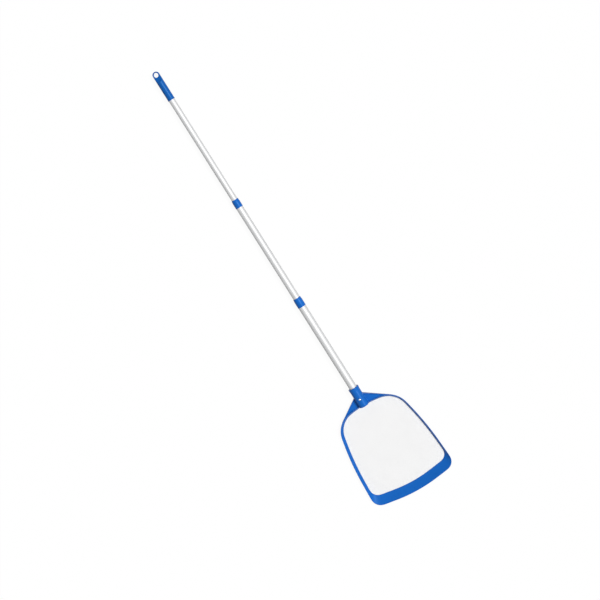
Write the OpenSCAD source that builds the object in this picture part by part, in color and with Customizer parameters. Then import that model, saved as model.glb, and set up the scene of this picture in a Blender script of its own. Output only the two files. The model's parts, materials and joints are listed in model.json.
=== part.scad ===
// Leaf skimmer net on a three-section telescopic pole.
// The pole runs along Y with the hanging eye at +Y and the net head at -Y; the net opens upwards (+Z).
// Origin: middle of the overall length, on the surface that the head rests on.

/* [Pole] */
// Outside diameter of the upper (thinnest) tube
upper_d = 21; // [19:0.5:23]
// Wall of all three tubes
tube_wall = 0.9; // [0.7:0.1:1.1]
// Radial gap between one tube and the tube that slides in it
tube_gap = 0.6; // [0.6:0.05:0.9]
// Length of upper tube that shows between grip and upper collar
upper_shown = 384; // [330:1:440]
// Length of middle tube that shows between the two collars
middle_shown = 357; // [330:1:420]
// Length of lower tube that shows between lower collar and socket
lower_shown = 327; // [310:1:400]
// Length of each inner tube that stays inside the next one when pulled out
overlap = 60; // [50:1:80]

/* [End grip] */
// Length of the grip from the top of its eye to its mouth
grip_len = 105; // [95:1:140]
// Outside diameter of the grip
grip_d = 24; // [23.5:0.25:28]
// How far the bead at the mouth stands out
grip_bead = 0.35; // [0.2:0.05:1]
// Length of the bead
grip_bead_len = 3; // [2:0.5:6]
// Depth of the blind bore that takes the upper tube
grip_bore_depth = 60; // [40:1:62]
// Radius of the hanging hole
eye_r = 8; // [5:0.25:8.5]
// Thickness of the flat eye
eye_t = 10; // [7:0.5:14]
// Radius of the hollows that lead from the round grip to the flat eye
eye_blend_r = 18; // [14:1:22]
// Edge break round the hanging hole
eye_chamfer = 0.8; // [0.4:0.1:1.2]
// How far the eye's flat sides run past the hanging hole, towards the pole
eye_flat = 3; // [1:0.25:5]

/* [Collars] */
// Length of the upper collar over its tube
upper_skirt = 19; // [16:1:28]
// Length of the lower collar over its tube
lower_skirt = 23; // [18:1:32]
// Length of the tapered nose above the tube's end
collar_nose = 11; // [8:1:16]
// Wall of a collar over its tube
collar_wall = 0.9; // [0.7:0.1:1.6]
// Wall at the tip of the nose
collar_tip_wall = 0.8; // [0.6:0.1:1.4]
// Radial clearance of the nose round the sliding tube
collar_clear = 0.5; // [0.5:0.05:0.7]

/* [Twist locks] */
// How far the spigot stands off the pole's axis
cam_offset = 0.45; // [0.3:0.05:0.45]
// Diameter of the eccentric spigot
spigot_d = 9; // [7:0.5:11]
// Running clearance of the lock ring on the spigot, on the radius
spigot_clear = 0.06; // [0.04:0.01:0.1]
// Length of the lock ring
ring_len = 16; // [12:1:22]
// Play of the lock ring between flange and head, at each end
ring_play = 0.35; // [0.3:0.05:0.6]
// Gap of the lock ring to the tube that it slides in, on the radius
ring_gap = 0.1; // [0.08:0.01:0.2]
// Width of the split in the lock ring
ring_split = 2.4; // [1.5:0.1:3.5]
// Length of plug inside the tube's end
plug_len = 22; // [16:1:30]
// Thickness of the plug's flange and of the head that keeps the ring on
plug_flange = 2.5; // [2:0.25:4]
// Diameter of the head on the spigot
plug_head_d = 14; // [12:0.5:16]
// Diameter of the pin across tube and plug
cross_pin_d = 3; // [2:0.25:4]
// How far the cross pin's ends stay below the tube's surface
pin_recess = 0.2; // [0.1:0.05:0.5]

/* [Socket and snap buttons] */
// Outside diameter of the socket
socket_d = 35.6; // [34:0.2:36.4]
// Length of the socket
socket_len = 72; // [66:1:90]
// Radial clearance of the socket round the lower tube
socket_clear = 0.2; // [0.1:0.05:0.4]
// Thickness of the socket's closed end
socket_end_wall = 7; // [5:0.5:12]
// How far the bead at the mouth stands out
socket_bead = 0.9; // [0.4:0.1:1.2]
// Length of that bead
socket_bead_len = 5; // [3:0.5:8]
// Distance of the snap buttons from the socket's mouth
button_from_mouth = 44; // [40:1:46]
// Diameter of a snap button
button_d = 8; // [6:0.25:9]
// Clearance of the buttons in their holes, on the radius
button_clear = 0.3; // [0.25:0.05:0.5]
// How far a button stands out of the socket
button_proud = 0.5; // [0.2:0.1:0.9]
// Height of a button's domed top
button_dome = 1.6; // [1:0.1:2.5]
// Diameter of the foot that keeps a button inside the tube
button_foot_d = 10.5; // [9.6:0.1:12]
// Thickness of that foot
button_foot_t = 1.6; // [1:0.1:2.5]
// Width of the spring strip
spring_w = 8; // [6:0.5:10]
// Thickness of the spring strip
spring_t = 0.8; // [0.6:0.1:1.2]
// Distance from the buttons to the bend of the spring
spring_reach = 36; // [30:1:38]
// Outer radius of the bend
spring_bend_r = 3; // [2:0.25:4]
// Length of the flat ends that carry the buttons
spring_land = 14; // [12:1:16]

/* [Net head] */
// Length of the net opening, back to front
open_len = 315; // [280:1:340]
// Width of the opening between its front corners
open_front_w = 295; // [270:1:320]
// Width of the opening halfway along its sides
open_mid_w = 280; // [268:1:300]
// Width of the opening at its back corners
open_back_w = 219; // [200:1:240]
// How far the front edge bows out
front_bow = 22; // [12:1:32]
// How far the back edge bows out
back_bow = 16; // [10:1:24]
// Radius of the front corners
front_corner_r = 30; // [22:1:40]
// Radius of the lip's outer corners
lip_corner_r = 36; // [28:1:50]
// Radius of the back corners
back_corner_r = 75; // [60:1:95]
// Gap between the socket's end and the opening
socket_to_open = 4; // [2:0.5:8]
// Run of the sloping wall at the sides and the back
rim_run = 8.75; // [8.5:0.25:13]
// Run of the scoop lip at the front
lip_run = 33.5; // [24:0.5:44]
// Height of the rim above the surface that the head rests on
rim_h = 16; // [13:0.5:18]
// How far the rim's outer wall hangs down from its top, at the sides and the back
side_drop = 5.5; // [5.2:0.1:8]
// How far the lip's front edge hangs down from its top
lip_drop = 3.4; // [2.5:0.1:5]
// Flat on top of the rim's outer wall is broken by this much at each edge
rim_edge = 0.5; // [0.3:0.1:0.8]
// Thickness of the rim's walls
rim_wall = 2; // [1.6:0.1:2.2]
// Height of the net's seat under the rim
seat_h = 2; // [1.8:0.1:3]
// Width of that seat
seat_w = 2.4; // [2:0.1:3]
// Thickness of the rim's inner edge, above the seat
seat_edge = 1; // [0.8:0.1:1.6]
// Thickness of the net
net_t = 0.6; // [0.4:0.1:0.8]
// Openings of the net across its middle
net_cells = 10; // [6:1:12]
// Width of the net between two openings
net_bar = 7; // [4:0.5:10]
// Plain edge of the net that shows inside the rim
net_hem = 3; // [2:0.5:8]
// Thickness of the gusset plates
gusset_t = 2.4; // [2:0.1:4]
// How far the gusset plates lie below their raised edges
gusset_recess = 1.6; // [0:0.1:2]
// Width of the wall under a gusset's straight edge, measured along the pole
gusset_edge_w = 2.6; // [2:0.1:4]
// Distance from the socket's mouth to the gussets
gusset_from_mouth = 32; // [25:1:40]

/* [Retainer] */
// How far the retainer reaches out from the opening's edge, at the sides and the back
retainer_w = 5.4; // [5.2:0.1:6]
// How far the retainer stays clear of the opening, and the net of the pegs
retainer_clear = 0.4; // [0.3:0.05:0.6]
// Diameter of the retainer's pegs, which press up into holes in the rim
peg_d = 2.4; // [2:0.1:2.6]
// Height of the pegs above the retainer
peg_h = 3.8; // [3:0.1:4.2]
// Clearance of a peg in its hole, on the radius
peg_clear = 0.1; // [0.05:0.05:0.2]
// Room above a peg in its hole
peg_room = 0.4; // [0.2:0.1:0.6]

/* [Hidden] */
$fn = 96;

blue = [0.06, 0.36, 0.75];
navy = [0.05, 0.20, 0.42];
silver = [0.86, 0.87, 0.88];
steel = [0.72, 0.73, 0.75];
white = [0.95, 0.95, 0.95];

// Small overrun of a cut past the face that it opens
cut = 1;

// Tube diameters, each tube a wall and a gap larger than the last
middle_d = upper_d + 2 * (tube_gap + tube_wall);
lower_d = middle_d + 2 * (tube_gap + tube_wall);

// Height of the pole's axis: the socket's bead just clears the surface under the head
bead_clear = 0.3;
axis_z = socket_d / 2 + socket_bead + bead_clear;

// Share of the lip's extra run that the retainer reaches across
retainer_share = 0.5;

// Depth of the rim's roof at its outer wall, below the top: at the sides, and along the lip
side_roof = 2.25 * rim_wall;
lip_roof = 1.5 * rim_wall;

// ---------- outlines of the net head, measured from the middle of the opening's back ----------

// Points on each rounded corner
corner_steps = 16;
// Points round a finished outline, at equal angles about the middle of the opening
line_n = 144;
open_middle = [0, -open_len / 2];

// Corners of the opening, counter-clockwise from the front middle. Each bowed edge has its middle
// a quarter of the bow outside the nominal length and its ends three quarters inside it.
open_corners = [
  [0, -open_len - front_bow / 4],
  [open_front_w / 2, -open_len + front_bow * 3 / 4],
  [open_mid_w / 2, -open_len / 2],
  [open_back_w / 2, -back_bow * 3 / 4],
  [0, back_bow / 4],
  [-open_back_w / 2, -back_bow * 3 / 4],
  [-open_mid_w / 2, -open_len / 2],
  [-open_front_w / 2, -open_len + front_bow * 3 / 4]
];
// How far the rim reaches out from the side that follows each corner
side_run = [lip_run, rim_run, rim_run, rim_run, rim_run, rim_run, rim_run, lip_run];
// Radius of each corner; 0 means that the rounding takes half of the shorter side
open_radii = [0, front_corner_r, 0, back_corner_r, 0, back_corner_r, 0, front_corner_r];
rim_radii = [
  0, lip_corner_r, 0, back_corner_r + rim_run,
  0, back_corner_r + rim_run, 0, lip_corner_r
];

// Outward normal of the side that follows corner i
function side_normal(p, i) = let (side = p[(i + 1) % len(p)] - p[i]) [side[1], -side[0]] / norm(side);

// Corner i after both of its sides have moved out by their run
function moved_corner(p, run, i) = let (
    before = (i + len(p) - 1) % len(p),
    m = side_normal(p, before),
    n = side_normal(p, i)
  ) p[i] + [run[before] * n[1] - run[i] * m[1], m[0] * run[i] - n[0] * run[before]] / cross(m, n);

// Points of the arc that rounds the corner at p, between the sides towards a and b
function corner_arc(a, p, b, r) = let (
    ua = (a - p) / norm(a - p),
    ub = (b - p) / norm(b - p),
    half = acos(ua * ub) / 2,
    room = 0.499 * min(norm(a - p), norm(b - p)),
    want = r == 0 ? room : r / tan(half),
    back = min(want, room),
    arc_r = back * tan(half),
    centre = p + (ua + ub) / norm(ua + ub) * arc_r / sin(half),
    from = p + ua * back - centre,
    to = p + ub * back - centre,
    start = atan2(from[1], from[0]),
    turn = (atan2(to[1], to[0]) - start + 540) % 360 - 180
  ) [for (k = [0 : corner_steps]) let (angle = start + turn * k / corner_steps)
    centre + arc_r * [cos(angle), sin(angle)]];

function rounded(p, r) = let (n = len(p))
  [for (i = [0 : n - 1]) each corner_arc(p[(i + n - 1) % n], p[i], p[(i + 1) % n], r[i])];

// Where the ray from the middle of the opening at this angle crosses a closed line
function ray_hit(line, angle) = let (ray = [cos(angle), sin(angle)], n = len(line)) [
    for (i = [0 : n - 1]) let (
      a = line[i] - open_middle,
      b = line[(i + 1) % n] - open_middle,
      at_a = cross(ray, a),
      at_b = cross(ray, b)
    ) if (at_a <= 0 && at_b > 0) open_middle + (a * at_b - b * at_a) / (at_b - at_a)
  ][0];

function around(line) = [for (i = [0 : line_n - 1]) ray_hit(line, i * 360 / line_n)];

inner_line = around(rounded(open_corners, open_radii));
outer_line = around(rounded(
  [for (i = [0 : len(open_corners) - 1]) moved_corner(open_corners, side_run, i)], rim_radii
));
// Length and direction of the rim's run at each point
run_len = [for (i = [0 : line_n - 1]) norm(outer_line[i] - inner_line[i])];
run_dir = [for (i = [0 : line_n - 1]) (outer_line[i] - inner_line[i]) / run_len[i]];
// 0 at the sides and the back, 1 along the scoop lip
lip_share = [for (r = run_len) min(1, max(0, (r - rim_run) / (lip_run - rim_run)))];

// The opening's outline moved outwards by d
function moved_line(d) = [for (i = [0 : line_n - 1]) inner_line[i] + d * run_dir[i]];

// Number of the outline's point nearest to an angle about the middle of the opening
function point_at(angle) = round(angle * line_n / 360 + line_n) % line_n;

// Top of the gussets, measured from the back of the opening
gusset_y = socket_len + socket_to_open - gusset_from_mouth;
// Where a straight edge from there touches the rim's back corner, and the same point mirrored
gusset_slopes = [for (i = [0 : line_n / 4 - 6])
  (outer_line[i][1] - gusset_y) / (outer_line[i][0] - socket_d / 2)];
gusset_point = search(max(gusset_slopes), gusset_slopes)[0];
gusset_mirror_point = line_n / 2 - gusset_point;

// Peg places at the sides and the back, as angles about the middle of the opening
peg_angles = [-20, 15, 45, 70, 110, 135, 165, 200];
// How far a peg's middle is out from the opening's edge, and the height of its top
peg_out = seat_w + peg_d / 2;
peg_top = seat_h - net_t + peg_h;

// ---------- places along the pole, from the eye to the lip ----------

// From the back of the opening to the lip's front edge
head_reach = -min([for (p = outer_line) p[1]]);
total_len = grip_len + upper_shown + middle_shown + lower_shown + upper_skirt + lower_skirt + 2 * collar_nose
  + socket_len + socket_to_open + head_reach;
tip_y = total_len / 2;
eye_y = tip_y - grip_d / 2;
grip_end_y = tip_y - grip_len;
upper_collar_top_y = grip_end_y - upper_shown;
upper_collar_end_y = upper_collar_top_y - collar_nose - upper_skirt;
lower_collar_top_y = upper_collar_end_y - middle_shown;
lower_collar_end_y = lower_collar_top_y - collar_nose - lower_skirt;
socket_y = lower_collar_end_y - lower_shown;
socket_end_y = socket_y - socket_len;
open_back_y = socket_end_y - socket_to_open;
button_y = socket_y - button_from_mouth;

// Ends of the tubes
upper_tube_top_y = grip_end_y + grip_bore_depth;
middle_tube_top_y = upper_collar_top_y - collar_nose;
lower_tube_top_y = lower_collar_top_y - collar_nose;
upper_tube_end_y = middle_tube_top_y - overlap;
middle_tube_end_y = lower_tube_top_y - overlap;
lower_tube_end_y = socket_end_y + socket_end_wall;

// Snap buttons, measured outwards from the pole's axis; the foot's edge just clears the bore
foot_clear = 0.2;
button_top = socket_d / 2 + button_proud;
lower_bore_r = lower_d / 2 - tube_wall;
button_foot_top = sqrt(lower_bore_r ^ 2 - (button_foot_d / 2) ^ 2) - foot_clear;
button_foot_low = button_foot_top - button_foot_t;
button_hole_d = button_d + 2 * button_clear;

// ---------- helpers ----------

// Puts a shape drawn along +Z from 0 on the pole's axis, starting at y and running towards +Y
module on_pole(y) {
  translate([0, y, axis_z]) rotate([-90, 0, 0]) children();
}

// A tube on the pole's axis from y_low to y_high
module pole_tube(y_low, y_high, d) {
  on_pole(y_low) difference() {
    cylinder(d = d, h = y_high - y_low);
    translate([0, 0, -cut]) cylinder(d = d - 2 * tube_wall, h = y_high - y_low + 2 * cut);
  }
}

// A hole across the pole along X, at y
module across(y, d, len) {
  translate([-len / 2, y, axis_z]) rotate([0, 90, 0]) cylinder(d = d, h = len, $fn = 48);
}

// Place of the cross pin along the pole: halfway along the plug in the tube that ends at y
function pin_y(y) = y + plug_len / 2;

// Tube that carries a lock plug, with the holes of its cross pin
module pinned_tube(y_low, y_high, d) {
  difference() {
    pole_tube(y_low, y_high, d);
    across(pin_y(y_low), cross_pin_d, d + 2 * cut);
  }
}

// Plug in the end of a tube: body, flange, eccentric spigot and head
module lock_plug(end_y, d) {
  spigot_len = ring_len + 2 * ring_play;
  difference() {
    union() {
      on_pole(end_y) cylinder(d = d - 2 * tube_wall, h = plug_len);
      on_pole(end_y - plug_flange) cylinder(d = d, h = plug_flange);
      translate([0, 0, cam_offset]) {
        on_pole(end_y - plug_flange - spigot_len) cylinder(d = spigot_d, h = spigot_len);
        on_pole(end_y - 2 * plug_flange - spigot_len) cylinder(d = plug_head_d, h = plug_flange);
      }
    }
    across(pin_y(end_y), cross_pin_d, d + 2 * cut);
  }
}

// Split ring on the spigot; turning the tube pushes it against the wall of the next tube
module lock_ring(end_y, outer_d) {
  low_y = end_y - plug_flange - ring_play - ring_len;
  ring_d = outer_d - 2 * tube_wall - 2 * ring_gap;
  difference() {
    on_pole(low_y) cylinder(d = ring_d, h = ring_len);
    translate([0, 0, cam_offset])
      on_pole(low_y - cut) cylinder(d = spigot_d + 2 * spigot_clear, h = ring_len + 2 * cut);
    translate([-ring_split / 2, low_y - cut, axis_z - ring_d])
      cube([ring_split, ring_len + 2 * cut, ring_d]);
  }
}

// Collar on the end of a tube: straight skirt, tapered nose, bore for the sliding tube
module collar(end_y, skirt, tube_d, sliding_d) {
  skirt_d = tube_d + 2 * collar_wall;
  nose_bore_d = sliding_d + 2 * collar_clear;
  on_pole(end_y) difference() {
    union() {
      cylinder(d = skirt_d, h = skirt);
      translate([0, 0, skirt])
        cylinder(d1 = skirt_d, d2 = nose_bore_d + 2 * collar_tip_wall, h = collar_nose);
    }
    translate([0, 0, -cut]) cylinder(d = tube_d, h = skirt + cut);
    translate([0, 0, -cut]) cylinder(d = nose_bore_d, h = skirt + collar_nose + 2 * cut);
  }
}

// ---------- grip and tubes ----------

// The hollow above one side of the eye, drawn in Y and Z and pushed along X
module eye_hollow() {
  flat_start = -eye_r - eye_flat;
  translate([-grip_d, eye_y, axis_z]) rotate([90, 0, 90]) linear_extrude(2 * grip_d) union() {
    translate([flat_start, eye_t / 2]) square([grip_d, grip_d]);
    translate([flat_start, eye_t / 2 + eye_blend_r]) circle(r = eye_blend_r);
  }
}

module eye_hole() {
  translate([0, eye_y, axis_z]) {
    cylinder(r = eye_r, h = grip_d + 2 * cut, center = true);
    for (side = [0, 1]) mirror([0, 0, side])
      translate([0, 0, eye_t / 2 - eye_chamfer])
        cylinder(r1 = eye_r, r2 = eye_r + eye_chamfer + cut, h = eye_chamfer + cut);
  }
}

module end_grip() {
  color(blue) difference() {
    union() {
      on_pole(grip_end_y) cylinder(d = grip_d, h = grip_len - grip_d / 2);
      on_pole(grip_end_y) cylinder(d = grip_d + 2 * grip_bead, h = grip_bead_len);
      translate([0, eye_y, axis_z]) sphere(d = grip_d);
    }
    on_pole(grip_end_y - cut) cylinder(d = upper_d, h = grip_bore_depth + cut);
    eye_hollow();
    translate([0, 0, 2 * axis_z]) mirror([0, 0, 1]) eye_hollow();
    eye_hole();
  }
}

module upper_tube() {
  color(silver) pinned_tube(upper_tube_end_y, upper_tube_top_y, upper_d);
}

module middle_tube() {
  color(silver) pinned_tube(middle_tube_end_y, middle_tube_top_y, middle_d);
}

module lower_tube() {
  color(silver) difference() {
    pole_tube(lower_tube_end_y, lower_tube_top_y, lower_d);
    translate([0, button_y, 0]) cylinder(d = button_hole_d, h = 2 * axis_z);
  }
}

// ---------- twist locks and collars ----------

module upper_lock_plug() {
  color(navy) lock_plug(upper_tube_end_y, upper_d);
}

module middle_lock_plug() {
  color(navy) lock_plug(middle_tube_end_y, middle_d);
}

module upper_plug_pin() {
  color(steel) across(pin_y(upper_tube_end_y), cross_pin_d, upper_d - 2 * pin_recess);
}

module middle_plug_pin() {
  color(steel) across(pin_y(middle_tube_end_y), cross_pin_d, middle_d - 2 * pin_recess);
}

module upper_lock_ring() {
  color(white) lock_ring(upper_tube_end_y, middle_d);
}

module middle_lock_ring() {
  color(white) lock_ring(middle_tube_end_y, lower_d);
}

module upper_collar() {
  color(blue) collar(upper_collar_end_y, upper_skirt, middle_d, upper_d);
}

module lower_collar() {
  color(blue) collar(lower_collar_end_y, lower_skirt, lower_d, middle_d);
}

// ---------- snap buttons ----------

// One snap button, drawn upwards from the pole's axis
module button_shape() {
  // The dome is the cap of a sphere, as wide at its foot as the button
  dome_r = ((button_d / 2) ^ 2 + button_dome ^ 2) / (2 * button_dome);
  translate([0, 0, button_foot_low]) cylinder(d = button_foot_d, h = button_foot_t, $fn = 64);
  intersection() {
    translate([0, 0, button_foot_low]) cylinder(d = button_d, h = button_top, $fn = 64);
    translate([0, 0, button_top - dome_r]) sphere(r = dome_r);
  }
  translate([0, 0, button_foot_low])
    cylinder(d = button_d, h = button_top - button_dome - button_foot_low, $fn = 64);
}

module front_button() {
  color(steel) translate([0, button_y, axis_z]) button_shape();
}

module rear_button() {
  color(steel) translate([0, button_y, axis_z]) mirror([0, 0, 1]) button_shape();
}

// The spring's centre line in Y and Z: land, sloping leg, bend, and the same again below
function spring_line() = let (
    bend_y = spring_reach - spring_bend_r,
    mid_r = spring_bend_r - spring_t / 2,
    land_z = button_foot_low - spring_t / 2,
    leg = [[-spring_land / 2, land_z], [spring_land / 2, land_z]]
  ) concat(
    leg,
    [for (a = [75 : -15 : -75]) [bend_y + mid_r * cos(a), mid_r * sin(a)]],
    [for (i = [1 : -1 : 0]) [leg[i][0], -leg[i][1]]]
  );

// A flat strip along a line in Y and Z, half its thickness to each side
function strip_outline(p, t) = let (n = len(p)) concat(
    [for (i = [0 : n - 1]) p[i] + strip_side(p, i) * t / 2],
    [for (i = [n - 1 : -1 : 0]) p[i] - strip_side(p, i) * t / 2]
  );
function strip_side(p, i) = let (
    a = p[max(i - 1, 0)], b = p[min(i + 1, len(p) - 1)], m = p[i],
    u = i == 0 ? (b - m) / norm(b - m) : (m - a) / norm(m - a),
    v = i == len(p) - 1 ? u : (b - m) / norm(b - m),
    w = (u + v) / norm(u + v)
  ) [-w[1], w[0]] / (w * u);

module button_spring() {
  color(steel) translate([-spring_w / 2, button_y, axis_z]) rotate([90, 0, 90])
    linear_extrude(spring_w) polygon(strip_outline(spring_line(), spring_t));
}

// ---------- net head ----------

// Section of the rim at point i: distance along the run, and height
function rim_section(i) = let (
    s = lip_share[i],
    run = run_len[i],
    foot = rim_h - (1 - s) * side_drop - s * lip_drop,
    under_top = rim_h - (1 - s) * side_roof - s * lip_roof
  ) [
    [0, seat_h],
    [0, seat_h + seat_edge],
    [run - rim_wall - rim_edge / 2, rim_h - rim_edge],
    [run - rim_wall + rim_edge / 2, rim_h],
    [run - rim_edge, rim_h],
    [run, rim_h - rim_edge],
    [run, foot],
    [run - rim_wall, foot],
    [run - rim_wall, under_top],
    [seat_w, seat_h]
  ];

// The rim as one closed skin: the section carried round the outline
module rim_shell() {
  m = len(rim_section(0));
  points = [for (i = [0 : line_n - 1]) each [for (q = rim_section(i))
    [inner_line[i][0] + run_dir[i][0] * q[0], inner_line[i][1] + run_dir[i][1] * q[0], q[1]]]];
  faces = [for (i = [0 : line_n - 1]) each [for (k = [0 : m - 1]) let (
      a = i * m + k, b = i * m + (k + 1) % m,
      c = ((i + 1) % line_n) * m + (k + 1) % m, d = ((i + 1) % line_n) * m + k
    ) each [[a, c, b], [a, d, c]]]];
  polyhedron(points, faces, convexity = 6);
}

// The space that the rim fills, up to height h
module rim_space(h) {
  translate([0, open_back_y, -cut]) linear_extrude(h + cut) polygon(outer_line);
}

// Stiffening wall under a gusset's straight edge
module gusset_edge() {
  to = outer_line[gusset_point];
  linear_extrude(rim_h) polygon([
    [0, gusset_y], [socket_d / 2, gusset_y], to, to - [0, gusset_edge_w],
    [socket_d / 2, gusset_y - gusset_edge_w], [0, gusset_y - gusset_edge_w]
  ]);
}

// Both gussets: plates a little below the rim's top, with raised edges down to its back corners
module gussets() {
  difference() {
    translate([0, open_back_y, 0]) {
      translate([0, 0, rim_h - gusset_recess - gusset_t]) linear_extrude(gusset_t) polygon([
        [-socket_d / 2, gusset_y], [socket_d / 2, gusset_y],
        outer_line[gusset_point], [0, -back_corner_r], outer_line[gusset_mirror_point]
      ]);
      gusset_edge();
      mirror([1, 0, 0]) gusset_edge();
    }
    rim_space(rim_h + cut);
  }
}

// Socket for the pole, with its gussets; its end rests on the rim
module pole_socket() {
  color(blue) difference() {
    union() {
      gussets();
      difference() {
        on_pole(socket_end_y) cylinder(d = socket_d, h = socket_len);
        rim_space(rim_h);
      }
      on_pole(socket_y - socket_bead_len) cylinder(d = socket_d + 2 * socket_bead, h = socket_bead_len);
    }
    on_pole(lower_tube_end_y)
      cylinder(d = lower_d + 2 * socket_clear, h = socket_y - lower_tube_end_y + cut);
    translate([0, button_y, -cut]) cylinder(d = button_hole_d, h = 2 * axis_z + 2 * cut);
  }
}

// At each peg's place
module at_pegs() {
  for (angle = peg_angles) let (i = point_at(angle), place = inner_line[i] + run_dir[i] * peg_out)
    translate([place[0], place[1], 0]) children();
}

// Rim and lip, with the blind holes that the retainer's pegs press into
module net_frame() {
  color(blue) translate([0, open_back_y, 0]) difference() {
    rim_shell();
    at_pegs() translate([0, 0, -cut])
      cylinder(d = peg_d + 2 * peg_clear, h = peg_top + peg_room + cut, $fn = 32);
  }
}

// Whether a point lies inside a closed line round the middle of the opening
function inside(line, p) = let (away = p - open_middle)
  norm(away) < 1 || norm(away) < norm(ray_hit(line, atan2(away[1], away[0])) - open_middle);

// Openings of the net: a plain grid of squares, cut off at the hem
module net_openings() {
  pitch = open_mid_w / net_cells;
  half = floor(max(open_len, open_front_w) / pitch / 2) + 1;
  hem_line = moved_line(-net_hem);
  places = [for (i = [-half : half - 1], j = [-half : half - 1])
    open_middle + pitch * [i + (net_cells + 1) % 2 / 2, j + 0.5]];
  intersection() {
    translate([0, 0, -cut]) linear_extrude(net_t + 2 * cut) polygon(hem_line);
    for (p = places) if (inside(hem_line, p))
      translate([p[0], p[1], net_t / 2])
        cube([pitch - net_bar, pitch - net_bar, net_t + 2 * cut], center = true);
  }
}

// The net: a flat sheet with openings, clamped between the rim's seat and the retainer
module net_mesh() {
  color(white) translate([0, open_back_y, seat_h - net_t]) difference() {
    linear_extrude(net_t) polygon(moved_line(seat_w - retainer_clear));
    net_openings();
  }
}

// Outer edge of the retainer: under the slope of the rim, and wider under the lip
function retainer_outer() = [for (i = [0 : line_n - 1])
  inner_line[i] + run_dir[i] * (retainer_w + (run_len[i] - rim_run) * retainer_share)];

// Ring under the net that clamps it to the rim
module net_retainer() {
  color(blue) translate([0, open_back_y, 0]) {
    linear_extrude(seat_h - net_t) difference() {
      polygon(retainer_outer());
      polygon(moved_line(retainer_clear));
    }
    at_pegs() translate([0, 0, (seat_h - net_t) / 2])
      cylinder(d = peg_d, h = peg_top - (seat_h - net_t) / 2, $fn = 32);
  }
}

end_grip();
upper_tube();
upper_lock_plug();
upper_plug_pin();
upper_lock_ring();
upper_collar();
middle_tube();
middle_lock_plug();
middle_plug_pin();
middle_lock_ring();
lower_collar();
lower_tube();
button_spring();
front_button();
rear_button();
pole_socket();
net_frame();
net_mesh();
net_retainer();
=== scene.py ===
"""Leaf skimmer net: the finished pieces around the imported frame, and the studio they stand in."""

import json
import math
from collections import Counter

import bmesh
import bpy
from mathutils import Matrix, Vector


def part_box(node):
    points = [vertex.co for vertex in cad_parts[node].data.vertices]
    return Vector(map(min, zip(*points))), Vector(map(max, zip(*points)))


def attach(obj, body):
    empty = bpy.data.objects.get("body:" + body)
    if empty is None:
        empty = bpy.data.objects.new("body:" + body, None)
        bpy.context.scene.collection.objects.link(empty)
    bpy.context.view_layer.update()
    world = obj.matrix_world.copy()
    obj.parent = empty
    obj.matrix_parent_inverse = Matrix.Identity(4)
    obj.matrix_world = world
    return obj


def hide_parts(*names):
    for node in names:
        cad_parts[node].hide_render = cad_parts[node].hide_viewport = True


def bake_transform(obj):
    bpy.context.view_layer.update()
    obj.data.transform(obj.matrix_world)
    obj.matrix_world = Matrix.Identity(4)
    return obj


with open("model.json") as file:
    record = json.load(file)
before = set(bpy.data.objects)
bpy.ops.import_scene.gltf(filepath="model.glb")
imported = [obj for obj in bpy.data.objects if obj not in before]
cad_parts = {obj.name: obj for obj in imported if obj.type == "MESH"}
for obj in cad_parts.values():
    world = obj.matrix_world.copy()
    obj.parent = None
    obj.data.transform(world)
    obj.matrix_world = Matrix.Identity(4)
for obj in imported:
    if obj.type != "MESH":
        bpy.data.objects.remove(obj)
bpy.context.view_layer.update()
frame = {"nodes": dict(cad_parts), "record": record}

bl_info = {
    "name": "Leaf Skimmer Net",
    "version": (1, 0, 0),
    "blender": (4, 5, 0),
    "location": "3D View > Sidebar > Skimmer",
    "description": "Builds the finished pieces of a leaf skimmer net on a telescopic pole",
    "category": "Add Mesh",
}

# ---------------------------------------------------------------- places read from the frame

NODES = frame["nodes"]
MOUNTS = {mount["name"]: mount for mount in frame["record"]["mounts"]}

ACROSS = Vector((1, 0, 0))
ALONG = Vector((0, 1, 0))
UP = Vector((0, 0, 1))
MM = 0.001
# Points nearer than this are at one place, or are one point after a merge, and digits to compare them by
SAME_PLACE = 1e-5
SAME_POINT = 1e-6
PLACE_DIGITS = 5
POINT_DIGITS = 6
# How far a cutter runs past what it cuts
OVERRUN = 2 * MM

EYE = Vector(MOUNTS["hang_eye"]["pos_m"])
EYE_RADIUS = MOUNTS["hang_eye"]["dims"]["r_mm"] * MM
EYE_STRAIGHT = MOUNTS["hang_eye"]["dims"]["length_mm"] * MM
POLE = Vector((0, 0, EYE.z))
HEAD = "head_and_lower_pole"


def ends(name):
    """Lowest and highest place of a node along the pole."""
    low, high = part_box(name)
    return low.y, high.y


def outer_radius(name):
    """Half the width of a node, which is round about the pole."""
    low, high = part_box(name)
    return (high.x - low.x) / 2


def reach_at(name, y):
    """Smallest and largest distance of a node's points from the pole's axis, at one place along it."""
    reach = [math.hypot(v.co.x, v.co.z - POLE.z)
             for v in NODES[name].data.vertices if abs(v.co.y - y) < SAME_PLACE]
    return min(reach), max(reach)


# ---------------------------------------------------------------- settings

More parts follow.
